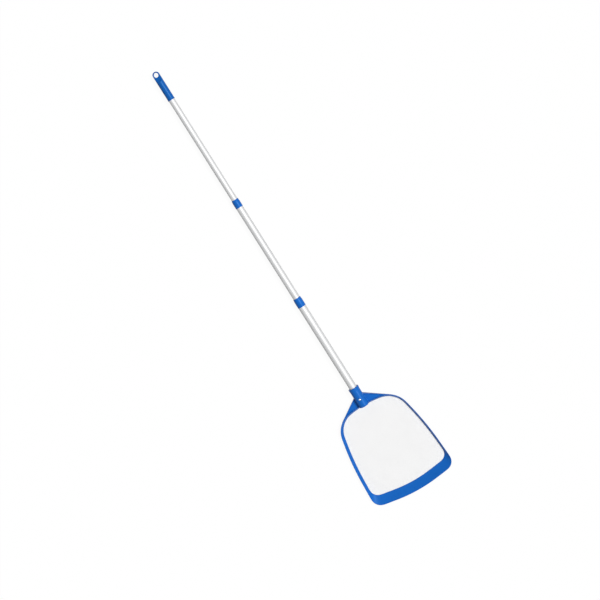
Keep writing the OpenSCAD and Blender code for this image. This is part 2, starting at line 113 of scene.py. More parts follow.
class SkimmerSizes(bpy.types.PropertyGroup):
    """Sizes of the finish, on top of the frame's own sizes."""

    eye_chamfer: bpy.props.FloatProperty(
        name="Eye chamfer", description="Edge break round the hanging hole",
        default=0.8 * MM, min=0.4 * MM, max=1.2 * MM, unit="LENGTH")
    eye_flat: bpy.props.FloatProperty(
        name="Eye flat", description="How far the eye's flat sides run past the hole",
        default=3 * MM, min=1 * MM, max=5 * MM, unit="LENGTH")
    eye_blend: bpy.props.FloatProperty(
        name="Eye blend", description="Radius of the hollows between the grip and its eye",
        default=18 * MM, min=14 * MM, max=22 * MM, unit="LENGTH")
    grip_bead: bpy.props.FloatProperty(
        name="Grip bead", description="Length of the bead at the mouth of the grip",
        default=3 * MM, min=2 * MM, max=6 * MM, unit="LENGTH")
    grip_melt: bpy.props.FloatProperty(
        name="Grip melt", description="Cell size to which the grip's edges are rounded",
        default=0.5 * MM, min=0.4 * MM, max=1 * MM, unit="LENGTH")
    collar_edge: bpy.props.FloatProperty(
        name="Collar edge", description="Radius of the collars' edges",
        default=0.35 * MM, min=0.1 * MM, max=0.4 * MM, unit="LENGTH")
    socket_round: bpy.props.FloatProperty(
        name="Socket end", description="Radius of the closed end of the socket",
        default=3.5 * MM, min=2 * MM, max=12 * MM, unit="LENGTH")
    socket_reach: bpy.props.FloatProperty(
        name="Socket reach", description="How far the closed end reaches out over the rim",
        default=2 * MM, min=0, max=3 * MM, unit="LENGTH")
    socket_flare: bpy.props.FloatProperty(
        name="Socket flare", description="Length over which the socket's mouth widens",
        default=12 * MM, min=5 * MM, max=20 * MM, unit="LENGTH")
    socket_lip: bpy.props.FloatProperty(
        name="Socket lip", description="Length of the straight stretch at the socket's mouth",
        default=3 * MM, min=1 * MM, max=4 * MM, unit="LENGTH")
    socket_break: bpy.props.FloatProperty(
        name="Socket edge break", description="Edge break at the mouth of the socket's bore",
        default=1 * MM, min=0.5 * MM, max=1.5 * MM, unit="LENGTH")
    socket_melt: bpy.props.FloatProperty(
        name="Socket melt", description="Cell size to which the socket's edges are rounded",
        default=0.6 * MM, min=0.5 * MM, max=1 * MM, unit="LENGTH")
    gusset_recess: bpy.props.FloatProperty(
        name="Gusset recess", description="How far the gusset plates lie below their edges",
        default=3 * MM, min=0, max=3.1 * MM, unit="LENGTH")
    gusset_plate: bpy.props.FloatProperty(
        name="Gusset plate", description="Thickness of the gusset plates",
        default=2.4 * MM, min=1.6 * MM, max=3 * MM, unit="LENGTH")
    gusset_bite: bpy.props.FloatProperty(
        name="Gusset bite", description="How far the gussets run into the rim's wall",
        default=4 * MM, min=2 * MM, max=6 * MM, unit="LENGTH")
    gusset_edge: bpy.props.FloatProperty(
        name="Gusset edge", description="Width of the raised edge along each gusset",
        default=2.8 * MM, min=1.6 * MM, max=3.2 * MM, unit="LENGTH")
    button_edge: bpy.props.FloatProperty(
        name="Button edge", description="Radius of the snap buttons' edges",
        default=0.25 * MM, min=0.1 * MM, max=0.4 * MM, unit="LENGTH")
    rim_wall: bpy.props.FloatProperty(
        name="Rim wall", description="Thickness of the rim's walls",
        default=2 * MM, min=1.6 * MM, max=2.2 * MM, unit="LENGTH")
    rim_edge: bpy.props.FloatProperty(
        name="Rim edge", description="Radius of the edges of the rim and the lip",
        default=0.55 * MM, min=0.2 * MM, max=0.7 * MM, unit="LENGTH")
    rim_seat: bpy.props.FloatProperty(
        name="Rim seat", description="How far out from the opening the rim lies flat on the net",
        default=2.4 * MM, min=1.6 * MM, max=2.6 * MM, unit="LENGTH")
    rim_draft: bpy.props.FloatProperty(
        name="Rim draft", description="How far the foot of the rim's outer wall leans inwards",
        default=1.2 * MM, min=0, max=1.5 * MM, unit="LENGTH")
    rim_cover: bpy.props.FloatProperty(
        name="Rim cover", description="How far the rim's sides reach over the net past its clamped edge",
        default=1.4 * MM, min=0, max=2 * MM, unit="LENGTH")
    lip_hollow: bpy.props.FloatProperty(
        name="Lip hollow", description="How far the scoop lip dips below a straight slope",
        default=1.0 * MM, min=0, max=2 * MM, unit="LENGTH")
    lip_run: bpy.props.FloatProperty(
        name="Lip run", description="Width of the slope from which on the lip has its full hollow",
        default=30 * MM, min=20 * MM, max=40 * MM, unit="LENGTH")
    thread_pitch: bpy.props.FloatProperty(
        name="Thread pitch", description="Distance between two threads of the net",
        default=1.2 * MM, min=0.8 * MM, max=3 * MM, unit="LENGTH")


LINEAR_COLOUR = {"subtype": "COLOR", "size": 3, "min": 0, "max": 1}


class SkimmerColours(bpy.types.PropertyGroup):
    """Colours of the finish, as linear values."""

    plastic: bpy.props.FloatVectorProperty(
        name="Plastic", description="Blue of the head and the collars",
        default=(0.009, 0.13, 0.52), **LINEAR_COLOUR)
    grip: bpy.props.FloatVectorProperty(
        name="Grip", description="Blue of the end grip",
        default=(0.006, 0.105, 0.41), **LINEAR_COLOUR)
    worn_plastic: bpy.props.FloatVectorProperty(
        name="Worn plastic", description="Blue of the rubbed edges",
        default=(0.09, 0.26, 0.62), **LINEAR_COLOUR)
    inner_plastic: bpy.props.FloatVectorProperty(
        name="Inner plastic", description="Colour of the lock plugs inside the pole",
        default=(0.012, 0.045, 0.14), **LINEAR_COLOUR)
    ring_plastic: bpy.props.FloatVectorProperty(
        name="Ring plastic", description="Colour of the lock rings inside the pole",
        default=(0.82, 0.82, 0.79), **LINEAR_COLOUR)
    aluminium: bpy.props.FloatVectorProperty(
        name="Aluminium", description="Colour of the anodised tubes",
        default=(0.63, 0.635, 0.64), **LINEAR_COLOUR)
    # Grey of the steel with a blue cast, which is a painted reflection of the blue plastic round the
    # buttons
    steel_and_painted_reflection: bpy.props.FloatVectorProperty(
        name="Steel", description="Colour of the snap buttons, the spring and the pins",
        default=(0.42, 0.51, 0.59), **LINEAR_COLOUR)
    worn_steel: bpy.props.FloatVectorProperty(
        name="Worn steel", description="Colour of the steel's rubbed edges",
        default=(0.93, 0.93, 0.93), **LINEAR_COLOUR)
    net: bpy.props.FloatVectorProperty(
        name="Net", description="Colour of the net's threads",
        default=(0.94, 0.94, 0.94), **LINEAR_COLOUR)


class StudioSettings(bpy.types.PropertyGroup):
    """Camera and light."""

    distance: bpy.props.FloatProperty(
        name="Distance", description="From the camera to the middle of the pole",
        default=4.576, min=1, max=20, unit="LENGTH")
    azimuth: bpy.props.FloatProperty(
        name="Azimuth", description="Turn of the camera about the vertical, from the net's side",
        default=math.radians(128.98), subtype="ANGLE")
    elevation: bpy.props.FloatProperty(
        name="Elevation", description="Height of the camera above the horizon",
        default=math.radians(77.22), subtype="ANGLE")
    lean: bpy.props.FloatProperty(
        name="Lean", description="Turn of the pole in the picture, from upright to the left",
        default=math.radians(32.23), subtype="ANGLE")
    target: bpy.props.FloatVectorProperty(
        name="Target", description="Point in the middle of the picture",
        size=3, default=(0.0059, -0.0572, 0.0178), subtype="TRANSLATION")
    lens: bpy.props.FloatProperty(
        name="Lens", description="Focal length on a 36 mm sensor",
        default=82.2, min=10, max=300)
    key_from: bpy.props.FloatVectorProperty(
        name="Key direction", description="Direction that the key light comes from",
        size=3, default=(0.64, -0.02, 1.0), subtype="DIRECTION")
    key_angle: bpy.props.FloatProperty(
        name="Key softness", description="How wide the key light looks from the object",
        default=math.radians(20), subtype="ANGLE")
    key_strength: bpy.props.FloatProperty(
        name="Key light", description="Strength of the key light", default=2.85, min=0)
    sky_strength: bpy.props.FloatProperty(
        name="Sky light", description="Strength of the light from all round", default=0.22, min=0)
    floor_glow: bpy.props.FloatProperty(
        name="Floor glow", description="Share of plain white in the floor, which keeps the shadow faint",
        default=0.95, min=0, max=1, subtype="FACTOR")
    floor_bounce: bpy.props.FloatProperty(
        name="Floor bounce", description="Paleness of the floor for the light that it throws back",
        default=0.25, min=0, max=1, subtype="FACTOR")


def sizes():
    return bpy.context.scene.skimmer_sizes


def colours():
    return bpy.context.scene.skimmer_colours


def studio():
    return bpy.context.scene.skimmer_studio


# ---------------------------------------------------------------- shader helpers

# Rise of the edge's sharpness from no wear to full wear, and the noise levels between which wear breaks up
WEAR_SPAN = 0.06
PATCH_RANGE = (0.42, 0.62)


def add(tree, kind, inputs=None, **settings):
    """A new shader node, with its settings and the values of its inputs."""
    node = tree.nodes.new(kind)
    for key, value in settings.items():
        setattr(node, key, value)
    for key, value in (inputs or {}).items():
        node.inputs[key].default_value = value
    return node


def object_place(tree):
    """Coordinates that stay with the piece as it moves."""
    return add(tree, "ShaderNodeTexCoord").outputs["Object"]


def new_group(name, inputs, outputs):
    """An empty node group with named sockets: (name, type, default) in, (name, type) out."""
    tree = bpy.data.node_groups.new(name, "ShaderNodeTree")
    for label, kind, value in inputs:
        tree.interface.new_socket(label, in_out="INPUT", socket_type=kind).default_value = value
    for label, kind in outputs:
        tree.interface.new_socket(label, in_out="OUTPUT", socket_type=kind)
    return tree, tree.nodes.new("NodeGroupInput"), tree.nodes.new("NodeGroupOutput")


def spread(tree, source, low, high):
    """Maps a value from 0..1 to low..high."""
    node = add(tree, "ShaderNodeMapRange", {"To Min": low, "To Max": high})
    tree.links.new(source, node.inputs["Value"])
    return node.outputs["Result"]


def surface_grain_group():
    """Fine even grain of a moulded surface, with slow changes of tone from the mould's flow."""
    tree, given, made = new_group(
        "surface_grain",
        [("Grain Scale", "NodeSocketFloat", 900.0), ("Depth", "NodeSocketFloat", 0.00002),
         ("Flow Scale", "NodeSocketFloat", 30.0)],
        [("Normal", "NodeSocketVector"), ("Grain", "NodeSocketFloat"), ("Flow", "NodeSocketFloat")])
    place = object_place(tree)
    fine = add(tree, "ShaderNodeTexNoise", {"Detail": 3.0, "Roughness": 0.6})
    slow = add(tree, "ShaderNodeTexNoise", {"Detail": 2.0, "Roughness": 0.5, "Distortion": 0.6})
    bump = add(tree, "ShaderNodeBump", {"Strength": 1.0})
    for texture, size in ((fine, "Grain Scale"), (slow, "Flow Scale")):
        tree.links.new(place, texture.inputs["Vector"])
        tree.links.new(given.outputs[size], texture.inputs["Scale"])
    tree.links.new(fine.outputs["Fac"], bump.inputs["Height"])
    tree.links.new(given.outputs["Depth"], bump.inputs["Distance"])
    tree.links.new(bump.outputs["Normal"], made.inputs["Normal"])
    tree.links.new(fine.outputs["Fac"], made.inputs["Grain"])
    tree.links.new(slow.outputs["Fac"], made.inputs["Flow"])
    return tree


def drawn_lines_group():
    """Lines that drawing through a die leaves along a tube, strip or pin that lies along the pole."""
    tree, given, made = new_group(
        "drawn_lines",
        [("Line Scale", "NodeSocketFloat", 1500.0), ("Stretch", "NodeSocketFloat", 0.006),
         ("Depth", "NodeSocketFloat", 0.00001)],
        [("Normal", "NodeSocketVector"), ("Lines", "NodeSocketFloat")])
    squeeze = add(tree, "ShaderNodeCombineXYZ", {"X": 1.0, "Z": 1.0})
    drawn = add(tree, "ShaderNodeVectorMath", operation="MULTIPLY")
    lines = add(tree, "ShaderNodeTexNoise", {"Detail": 4.0, "Roughness": 0.65})
    bump = add(tree, "ShaderNodeBump", {"Strength": 1.0})
    tree.links.new(given.outputs["Stretch"], squeeze.inputs["Y"])
    tree.links.new(object_place(tree), drawn.inputs[0])
    tree.links.new(squeeze.outputs[0], drawn.inputs[1])
    tree.links.new(drawn.outputs[0], lines.inputs["Vector"])
    tree.links.new(given.outputs["Line Scale"], lines.inputs["Scale"])
    tree.links.new(lines.outputs["Fac"], bump.inputs["Height"])
    tree.links.new(given.outputs["Depth"], bump.inputs["Distance"])
    tree.links.new(bump.outputs["Normal"], made.inputs["Normal"])
    tree.links.new(lines.outputs["Fac"], made.inputs["Lines"])
    return tree


def edge_wear_group():
    """Mask of the raised edges that hands and the pool's wall rub, broken up by noise."""
    tree, given, made = new_group(
        "edge_wear",
        [("Threshold", "NodeSocketFloat", 0.53), ("Patch Scale", "NodeSocketFloat", 120.0),
         ("Amount", "NodeSocketFloat", 0.5)],
        [("Mask", "NodeSocketFloat")])
    shape = add(tree, "ShaderNodeNewGeometry")
    full_wear = add(tree, "ShaderNodeMath", {1: WEAR_SPAN}, operation="ADD")
    edge = add(tree, "ShaderNodeMapRange", interpolation_type="SMOOTHSTEP")
    patches = add(tree, "ShaderNodeTexNoise", {"Detail": 4.0, "Roughness": 0.7})
    contrast = add(tree, "ShaderNodeMapRange", {"From Min": PATCH_RANGE[0], "From Max": PATCH_RANGE[1]})
    both = add(tree, "ShaderNodeMath", operation="MULTIPLY")
    scaled = add(tree, "ShaderNodeMath", operation="MULTIPLY")
    tree.links.new(shape.outputs["Pointiness"], edge.inputs["Value"])
    tree.links.new(given.outputs["Threshold"], edge.inputs["From Min"])
    tree.links.new(given.outputs["Threshold"], full_wear.inputs[0])
    tree.links.new(full_wear.outputs[0], edge.inputs["From Max"])
    tree.links.new(object_place(tree), patches.inputs["Vector"])
    tree.links.new(given.outputs["Patch Scale"], patches.inputs["Scale"])
    tree.links.new(patches.outputs["Fac"], contrast.inputs["Value"])
    tree.links.new(edge.outputs["Result"], both.inputs[0])
    tree.links.new(contrast.outputs["Result"], both.inputs[1])
    tree.links.new(both.outputs[0], scaled.inputs[0])
    tree.links.new(given.outputs["Amount"], scaled.inputs[1])
    tree.links.new(scaled.outputs[0], made.inputs["Mask"])
    return tree


GROUPS = {
    "surface_grain": surface_grain_group,
    "drawn_lines": drawn_lines_group,
    "edge_wear": edge_wear_group,
}


def effect(tree, name, inputs):
    """Places a shared effect in a material, with the material's own values."""
    group = bpy.data.node_groups.get(name) or GROUPS[name]()
    return add(tree, "ShaderNodeGroup", inputs, node_tree=group)


def new_material(name):
    """A material with only its Principled shader and output."""
    material = bpy.data.materials.new(name)
    material.use_nodes = True
    return material.node_tree, material.node_tree.nodes["Principled BSDF"]


def vary(tree, shader, colour, roughness, normal):
    """Gives the shader what changes over the surface."""
    for name, source in (("Base Color", colour), ("Roughness", roughness), ("Normal", normal)):
        tree.links.new(source, shader.inputs[name])


def tinted(tree, colour, change, factor):
    """The colour, mixed with a changed one by a factor that varies over the surface."""
    mix = add(tree, "ShaderNodeMix", data_type="RGBA")
    mix.inputs["A"].default_value = (*colour, 1)
    mix.inputs["B"].default_value = (*change, 1)
    tree.links.new(factor, mix.inputs["Factor"])
    return mix.outputs["Result"]


def over(tree, below, colour, mask):
    """A plain colour laid over another by a mask."""
    mix = add(tree, "ShaderNodeMix", data_type="RGBA")
    mix.inputs["B"].default_value = (*colour, 1)
    tree.links.new(below, mix.inputs["A"])
    tree.links.new(mask, mix.inputs["Factor"])
    return mix.outputs["Result"]


def shades(colour, factor):
    """The colour, darker or lighter by a factor."""
    return [min(1, part * factor) for part in colour]


# ---------------------------------------------------------------- materials

def moulded_blue(name, base):
    """Glossy moulded polypropylene: slow flow tones, fine grain and rubbed edges."""
    tree, shader = new_material(name)
    grain = effect(tree, "surface_grain", {"Grain Scale": 900.0, "Depth": 0.00005, "Flow Scale": 22.0})
    wear = effect(tree, "edge_wear", {"Threshold": 0.53, "Patch Scale": 160.0, "Amount": 0.5})
    flow = tinted(tree, shades(base, 0.88), shades(base, 1.12), grain.outputs["Flow"])
    worn = over(tree, flow, colours().worn_plastic, wear.outputs["Mask"])
    roughness = spread(tree, grain.outputs["Grain"], 0.3, 0.42)
    vary(tree, shader, worn, roughness, grain.outputs["Normal"])
    shader.inputs["Specular IOR Level"].default_value = 0.22
    shader.inputs["Specular Tint"].default_value = (0.4, 0.7, 1.0, 1)


def blue_plastic(name):
    """Blue of the head and the collars."""
    moulded_blue(name, colours().plastic)


def grip_plastic(name):
    """The deeper blue of the grip, which comes from a mould of its own."""
    moulded_blue(name, colours().grip)


def inner_plastic(name):
    """Matt moulded nylon of the lock plugs."""
    tree, shader = new_material(name)
    base = colours().inner_plastic
    grain = effect(tree, "surface_grain", {"Grain Scale": 1400.0, "Depth": 0.00003, "Flow Scale": 60.0})
    flow = tinted(tree, shades(base, 0.8), shades(base, 1.25), grain.outputs["Flow"])
    roughness = spread(tree, grain.outputs["Grain"], 0.5, 0.7)
    vary(tree, shader, flow, roughness, grain.outputs["Normal"])


def ring_plastic(name):
    """Natural acetal of the lock rings, slightly greyed where it rubs in the tube."""
    tree, shader = new_material(name)
    base = colours().ring_plastic
    grain = effect(tree, "surface_grain", {"Grain Scale": 1800.0, "Depth": 0.00001, "Flow Scale": 90.0})
    lines = effect(tree, "drawn_lines", {"Line Scale": 2500.0, "Stretch": 0.02, "Depth": 0.000006})
    flow = tinted(tree, shades(base, 0.86), base, grain.outputs["Flow"])
    roughness = spread(tree, lines.outputs["Lines"], 0.3, 0.5)
    vary(tree, shader, flow, roughness, lines.outputs["Normal"])


def tube_aluminium(name):
    """Satin anodised tube, with fine lines along it."""
    tree, shader = new_material(name)
    base = colours().aluminium
    lines = effect(tree, "drawn_lines", {"Line Scale": 1800.0, "Stretch": 0.004, "Depth": 0.000006})
    grain = effect(tree, "surface_grain", {"Grain Scale": 2500.0, "Depth": 0.000002, "Flow Scale": 9.0})
    drawn = tinted(tree, shades(base, 0.94), shades(base, 1.05), lines.outputs["Lines"])
    roughness = spread(tree, grain.outputs["Flow"], 0.5, 0.6)
    vary(tree, shader, drawn, roughness, lines.outputs["Normal"])
    shader.inputs["Metallic"].default_value = 0.35


def spring_steel(name):
    """Bright stainless steel of the buttons, the spring and the pins, with a blue cast in its colour that
    is a painted reflection of the blue plastic round them.
    """
    tree, shader = new_material(name)
    # The blue cast of this colour is a painted reflection of the blue socket, laid over the steel's own
    # grey
    base = colours().steel_and_painted_reflection
    lines = effect(tree, "drawn_lines", {"Line Scale": 3000.0, "Stretch": 0.05, "Depth": 0.000003})
    wear = effect(tree, "edge_wear", {"Threshold": 0.52, "Patch Scale": 600.0, "Amount": 0.6})
    lined_steel_and_painted_reflection = tinted(tree, shades(base, 0.9), shades(base, 1.08), lines.outputs["Lines"])
    worn = over(tree, lined_steel_and_painted_reflection, colours().worn_steel, wear.outputs["Mask"])
    roughness = spread(tree, lines.outputs["Lines"], 0.14, 0.3)
    vary(tree, shader, worn, roughness, lines.outputs["Normal"])
    shader.inputs["Metallic"].default_value = 1.0


def net_fabric(name):
    """White polyester threads, each a twist of fine fibres."""
    tree, shader = new_material(name)
    base = colours().net
    grain = effect(tree, "surface_grain", {"Grain Scale": 6000.0, "Depth": 0.00003, "Flow Scale": 14.0})
    flow = tinted(tree, shades(base, 0.96), shades(base, 1.04), grain.outputs["Flow"])
    roughness = spread(tree, grain.outputs["Grain"], 0.55, 0.75)
    vary(tree, shader, flow, roughness, grain.outputs["Normal"])
    shader.inputs["Specular IOR Level"].default_value = 0.22


FINISHES = {
    "blue_plastic": blue_plastic,
    "grip_plastic": grip_plastic,
    "inner_plastic": inner_plastic,
    "ring_plastic": ring_plastic,
    "tube_aluminium": tube_aluminium,
    "spring_steel": spring_steel,
    "net_fabric": net_fabric,
}


def finish(look):
    """The material of one finish, built when it is first asked for."""
    name = look + "_finish"
    if name not in bpy.data.materials:
        FINISHES[look](name)
    return bpy.data.materials[name]


def dress(slot, *names):
    """Gives a finish to CAD nodes whose own shape stays."""
    for name in names:
        materials = NODES[name].data.materials
        materials.clear()
        materials.append(finish(slot))


# ---------------------------------------------------------------- mesh helpers

# Turn past which an edge is shaded sharp, and the one that leaves no edge sharp
SHARP_DEGREES = 40
NO_SHARP_EDGE = 180
# Faces in a full turn round the pole
POLE_STEPS = 128
# Strength and number of the smoothing passes that round melted edges
MELT_FACTOR = 0.5
MELT_PASSES = 4


def new_piece(name, bm, slot, body, stands_for, sharp_degrees=SHARP_DEGREES, look=None):
    """Turns a bmesh into a smooth-shaded piece that replaces nodes and rides on a body, if one is given."""
    for face in bm.faces:
        face.smooth = True
    for edge in bm.edges:
        edge.smooth = edge.calc_face_angle(0) < math.radians(sharp_degrees)
    mesh = bpy.data.meshes.new(name)
    bm.to_mesh(mesh)
    bm.free()
    piece = bpy.data.objects.new(name, mesh)
    bpy.context.scene.collection.objects.link(piece)
    mesh.materials.append(finish(look or slot))
    if body:
        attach(piece, body)
    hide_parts(*stands_for)
    return piece


def round_edges(bm, radius, degrees, segments=3):
    """Rounds the edges that turn by more than the angle."""
    sharp = [edge for edge in bm.edges if edge.calc_face_angle(0) > math.radians(degrees)]
    bmesh.ops.bevel(bm, geom=sharp, offset=radius, segments=segments, profile=0.5,
                    affect="EDGES", clamp_overlap=True, material=-1)


def turned(profile, centre, axis, steps=POLE_STEPS):
    """A profile of (radius, place along the axis) points, spun about the axis."""
    bm = bmesh.new()
    verts = [bm.verts.new(centre + ACROSS * radius + axis * along) for radius, along in profile]
    for pair in zip(verts, verts[1:]):
        bm.edges.new(pair)
    if profile[0][0] > 0:
        bm.edges.new((verts[-1], verts[0]))
    bmesh.ops.spin(bm, geom=bm.verts[:] + bm.edges[:], cent=centre, axis=axis,
                   angle=math.tau, steps=steps, use_merge=True)
    bmesh.ops.remove_doubles(bm, verts=bm.verts, dist=SAME_POINT)
    bmesh.ops.recalc_face_normals(bm, faces=bm.faces)
    return bm


def arc(centre, radius, start, end, steps):
    """Points of a round stretch of a profile, from one angle to another in degrees."""
    angles = [math.radians(start + (end - start) * k / steps) for k in range(steps + 1)]
    return [(centre[0] + radius * math.cos(a), centre[1] + radius * math.sin(a)) for a in angles]


def prism(outline, low, high):
    """A flat outline of (x, y) points, raised from one height to another."""
    bm = bmesh.new()
    base = bm.faces.new([bm.verts.new((x, y, low)) for x, y in outline])
    raised = bmesh.ops.extrude_face_region(bm, geom=[base])["geom"]
    tops = [part for part in raised if isinstance(part, bmesh.types.BMVert)]
    bmesh.ops.translate(bm, verts=tops, vec=UP * (high - low))
    bmesh.ops.recalc_face_normals(bm, faces=bm.faces)
    return bm


def cut_by_plane(bm, place, normal, clear_inner=False):
    """Adds edges along a plane, and can clear what lies behind it."""
    bmesh.ops.bisect_plane(bm, geom=bm.verts[:] + bm.edges[:] + bm.faces[:], dist=SAME_PLACE,
                           plane_co=place, plane_no=normal, clear_inner=clear_inner)


def scratch(bm):
    """A short-lived object that a modifier can work on."""
    mesh = bpy.data.meshes.new("scratch")
    bm.to_mesh(mesh)
    bm.free()
    thing = bpy.data.objects.new("scratch", mesh)
    bpy.context.scene.collection.objects.link(thing)
    return thing


def worked(bm, joined=(), cut=(), melt=0):
    """The solid after others are joined to it and cut from it, its edges melted to a cell size."""
    base = scratch(bm)
    tools = []
    for operation, solids in (("UNION", joined), ("DIFFERENCE", cut)):
        for solid in solids:
            tools.append(scratch(solid))
            step = base.modifiers.new("step", "BOOLEAN")
            step.operation = operation
            step.solver = "EXACT"
            step.object = tools[-1]
    if melt:
        cells = base.modifiers.new("cells", "REMESH")
        cells.mode = "VOXEL"
        cells.voxel_size = melt
        soft = base.modifiers.new("soft", "SMOOTH")
        soft.factor = MELT_FACTOR
        soft.iterations = MELT_PASSES
    bpy.context.view_layer.update()
    made = base.evaluated_get(bpy.context.evaluated_depsgraph_get())
    result = bmesh.new()
    result.from_mesh(made.to_mesh())
    made.to_mesh_clear()
    for thing in (base, *tools):
        mesh = thing.data
        bpy.data.objects.remove(thing)
        bpy.data.meshes.remove(mesh)
    return result


# ---------------------------------------------------------------- pole

class SKIMMER_OT_tubes(bpy.types.Operator):
    """Finishes the three aluminium tubes"""

    bl_idname = "skimmer.tubes"
    bl_label = "Tubes"

    def execute(self, context):
        dress("tube_aluminium", "upper_tube", "middle_tube", "lower_tube")
        return {"FINISHED"}


class SKIMMER_OT_twist_locks(bpy.types.Operator):
    """Finishes the plugs, rings and pins of the twist locks inside the pole"""

    bl_idname = "skimmer.twist_locks"
    bl_label = "Twist locks"

    def execute(self, context):
        dress("inner_plastic", "upper_lock_plug", "middle_lock_plug")
        dress("ring_plastic", "upper_lock_ring", "middle_lock_ring")
        dress("spring_steel", "upper_plug_pin", "middle_plug_pin")
        return {"FINISHED"}


def eye_hollow(side):
    """Cutter that clears one side of the eye: a block wider than the grip, with a round heel."""
    blend = sizes().eye_blend
    width = 4 * outer_radius("end_grip")
    eye_half = EYE_STRAIGHT / 2 + sizes().eye_chamfer
    heel_y = EYE.y - EYE_RADIUS - sizes().eye_flat
    heel_z = EYE.z + side * (eye_half + blend)
    heel = bmesh.new()
    bmesh.ops.create_cone(
        heel, cap_ends=True, segments=160, radius1=blend, radius2=blend, depth=width,
        matrix=Matrix.Translation((0, heel_y, heel_z)) @ Matrix.Rotation(math.radians(90), 4, "Y"))
    block = bmesh.new()
    block_size = Matrix.Diagonal((width, width, 2 * blend, 1))
    bmesh.ops.create_cube(block, size=1,
                          matrix=Matrix.Translation((0, heel_y + width / 2, heel_z)) @ block_size)
    return worked(heel, joined=[block])


def eye_hole():
    """Cutter of the hanging hole, widened at both ends."""
    chamfer = sizes().eye_chamfer
    half = EYE_STRAIGHT / 2
    far = half + chamfer + OVERRUN
    wide = EYE_RADIUS + chamfer + OVERRUN
    return turned([(0, -far), (wide, -far), (EYE_RADIUS, -half), (EYE_RADIUS, half), (wide, far), (0, far)],
                  EYE, UP, steps=96)


class SKIMMER_OT_grip(bpy.types.Operator):
    """Makes the end grip with its hanging eye"""

    bl_idname = "skimmer.grip"
    bl_label = "End grip"

    def execute(self, context):
        mouth, tip = ends("end_grip")
        radius = tip - EYE.y
        bore = outer_radius("upper_tube")
        bore_end = ends("upper_tube")[1]
        bead = outer_radius("end_grip")
        bead_end = mouth + sizes().grip_bead
        body = turned(
            [(0, bore_end), (bore, bore_end), (bore, mouth), (bead, mouth), (bead, bead_end),
             (radius, bead_end + bead - radius), *arc((0, EYE.y), radius, 0, 90, 24)[:-1], (0, tip)],
            POLE, ALONG)
        grip = worked(body, cut=[eye_hollow(1), eye_hollow(-1), eye_hole()], melt=sizes().grip_melt)
        new_piece("end_grip_finish", grip, "blue_plastic", "upper_pole", ["end_grip"],
                  NO_SHARP_EDGE, "grip_plastic")
        return {"FINISHED"}


def collar(name, outer_tube, body):
    """Skirt over the end of a tube, and a nose that tapers to the tube that slides in it."""
    low, high = ends(name)
    tube_end = ends(outer_tube)[1]
    bore, skirt = outer_radius(outer_tube), outer_radius(name)
    nose_bore, nose = reach_at(name, high)
    bm = turned([(bore, low), (skirt, low), (skirt, tube_end), (nose, high), (nose_bore, high),
                 (nose_bore, tube_end), (bore, tube_end)], POLE, ALONG)
    round_edges(bm, sizes().collar_edge, degrees=12)
    new_piece(name + "_finish", bm, "blue_plastic", body, [name])


class SKIMMER_OT_collars(bpy.types.Operator):
    """Makes the two collars of the pole"""

    bl_idname = "skimmer.collars"
    bl_label = "Collars"

    def execute(self, context):
        collar("upper_collar", "middle_tube", "middle_pole")
        collar("lower_collar", "lower_tube", HEAD)
        return {"FINISHED"}


# ---------------------------------------------------------------- net head

# Directions from the middle of the opening in which the rim's sections lie
RIM_RAYS = 144
RIM_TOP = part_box("net_frame")[1].z
NET_LOW, NET_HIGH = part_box("net_mesh")
# The ray square to the pole is the only one that has all its points at one place along the pole
ALONG_COUNTS = Counter(round(v.co.y, POINT_DIGITS) for v in NODES["net_frame"].data.vertices)
OPENING = Vector((0, ALONG_COUNTS.most_common(1)[0][0]))


def points_by_ray(name):
    """A node's points as (distance, height, offset), for each direction from the middle of the opening."""
    rays = [[] for turn in range(RIM_RAYS)]
    for v in NODES[name].data.vertices:
        away = v.co.xy - OPENING
        turn = round(math.atan2(away.y, away.x) * RIM_RAYS / math.tau)
        rays[turn % RIM_RAYS].append((away.length, v.co.z, away))
    return rays


def rim_rays():
    """For each direction from the middle of the opening: the rim's inner and outer point and its foot."""
    rays = []
    for points in points_by_ray("net_frame"):
        near = min(points)
        far = max(points)
        foot = min(z for length, z, away in points if far[0] - length < SAME_PLACE)
        rays.append((near[2] + OPENING, far[2] + OPENING, foot))
    return rays


def rim_section(run, foot, cover):
    """Section of the rim as (distance along the run, height), from its inner edge over the top and back."""
    size = sizes()
    wall = size.rim_wall
    seat = NET_HIGH.z
    edge = seat + wall / 2
    dip = size.lip_hollow * min(1, run / size.lip_run) ** 2
    top_in = run - wall
    foot_out = run - size.rim_draft
    foot_in = foot_out - wall
    return [
        (-cover, seat), (-cover, edge), ((top_in - cover) / 2, (edge + RIM_TOP) / 2 - dip),
        (top_in, RIM_TOP), (run, RIM_TOP), (foot_out, foot), (foot_in, foot),
        ((foot_in + size.rim_seat) / 2, (seat + foot) / 2 - dip), (size.rim_seat, seat),
    ]


def swept(stations):
    """A closed section carried round a loop of stations, each a list of points."""
    bm = bmesh.new()
    ring = [bm.verts.new(point) for point in stations[0]]
    edges = [bm.edges.new(pair) for pair in zip(ring, ring[1:] + ring[:1])]
    for station in stations[1:] + stations[:1]:
        made = bmesh.ops.extrude_edge_only(bm, edges=edges)["geom"]
        edges = [part for part in made if isinstance(part, bmesh.types.BMEdge)]
        moved = [part for part in made if isinstance(part, bmesh.types.BMVert)]
        for vert, point in zip(moved, station):
            vert.co = point
    bmesh.ops.remove_doubles(bm, verts=bm.verts, dist=SAME_POINT)
    bmesh.ops.recalc_face_normals(bm, faces=bm.faces)
    return bm


